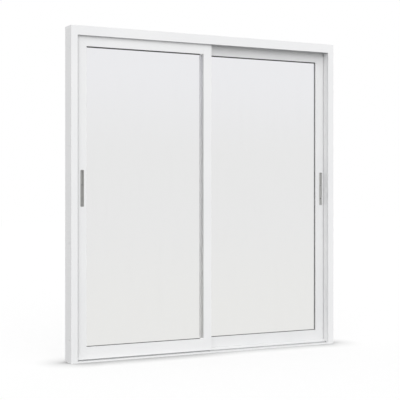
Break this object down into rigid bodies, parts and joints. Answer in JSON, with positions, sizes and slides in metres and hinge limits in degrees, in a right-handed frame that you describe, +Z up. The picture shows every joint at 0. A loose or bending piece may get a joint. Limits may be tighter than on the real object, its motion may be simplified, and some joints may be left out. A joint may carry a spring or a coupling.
{
  "type": "two-leaf two-track sliding glass door with frame",
  "caption": "White aluminium sliding glass door: one leaf runs in front of the other on stepped tracks in a jamb, head and sill frame, with satin flush pulls.",
  "frame": {"origin": "middle of the sill's flat underside, half way through the frame's depth", "axes": "+X along the opening to the right as seen from outside, +Y inwards, +Z up"},
  "size_m": [2, 0.11, 2.15],
  "materials": {
    "white_profile": "satin white powder coat on aluminium extrusion",
    "pane": "clear toughened float glass",
    "gasket": "matt dark grey rubber glazing gasket",
    "pull_metal": "satin grey metal",
    "track_metal": "mill aluminium running rail",
    "zinc_fitting": "zinc-plated pressed steel",
    "nylon": "moulded nylon",
    "bumper_rubber": "moulded rubber",
    "brush_pile": "grey woven pile weather strip"
  },
  "bodies": {
    "frame": {"left_jamb": "white_profile", "right_jamb": "white_profile", "pocket_infills": "white_profile", "head": "white_profile", "sill": "white_profile", "front_track": "track_metal", "rear_track": "track_metal", "left_jamb_brushes": "brush_pile", "right_jamb_brushes": "brush_pile", "head_brushes": "brush_pile", "closing_bumpers": "bumper_rubber", "open_stops": "nylon", "anti_lift_blocks": "nylon", "lock_keepers": "zinc_fitting"},
    "front_leaf": {"front_leaf_lock_stile": "white_profile", "front_leaf_meeting_stile": "white_profile", "front_leaf_top_rail": "white_profile", "front_leaf_bottom_rail": "white_profile", "front_leaf_glass": "pane", "front_leaf_outer_gasket": "gasket", "front_leaf_inner_gasket": "gasket", "front_leaf_interlock": "white_profile", "front_leaf_outer_pull": "pull_metal", "front_leaf_outer_lock_cover": "pull_metal", "front_leaf_inner_pull": "pull_metal", "front_leaf_inner_lock_cover": "pull_metal", "front_leaf_faceplate": "pull_metal", "front_leaf_rollers": "nylon", "front_leaf_roller_carriages": "zinc_fitting", "front_leaf_top_guides": "nylon"},
    "rear_leaf": {"rear_leaf_lock_stile": "white_profile", "rear_leaf_meeting_stile": "white_profile", "rear_leaf_top_rail": "white_profile", "rear_leaf_bottom_rail": "white_profile", "rear_leaf_glass": "pane", "rear_leaf_outer_gasket": "gasket", "rear_leaf_inner_gasket": "gasket", "rear_leaf_interlock": "white_profile", "rear_leaf_outer_pull": "pull_metal", "rear_leaf_outer_lock_cover": "pull_metal", "rear_leaf_inner_pull": "pull_metal", "rear_leaf_inner_lock_cover": "pull_metal", "rear_leaf_faceplate": "pull_metal", "rear_leaf_rollers": "nylon", "rear_leaf_roller_carriages": "zinc_fitting", "rear_leaf_top_guides": "nylon"}
  },
  "joints": [
    {"name": "front_slide", "type": "slide", "parent": "frame", "child": "front_leaf", "axis": [1, 0, 0], "range_m": [0, 0.8735]},
    {"name": "rear_slide", "type": "slide", "parent": "frame", "child": "rear_leaf", "axis": [-1, 0, 0], "range_m": [0, 0.8475]}
  ]
}
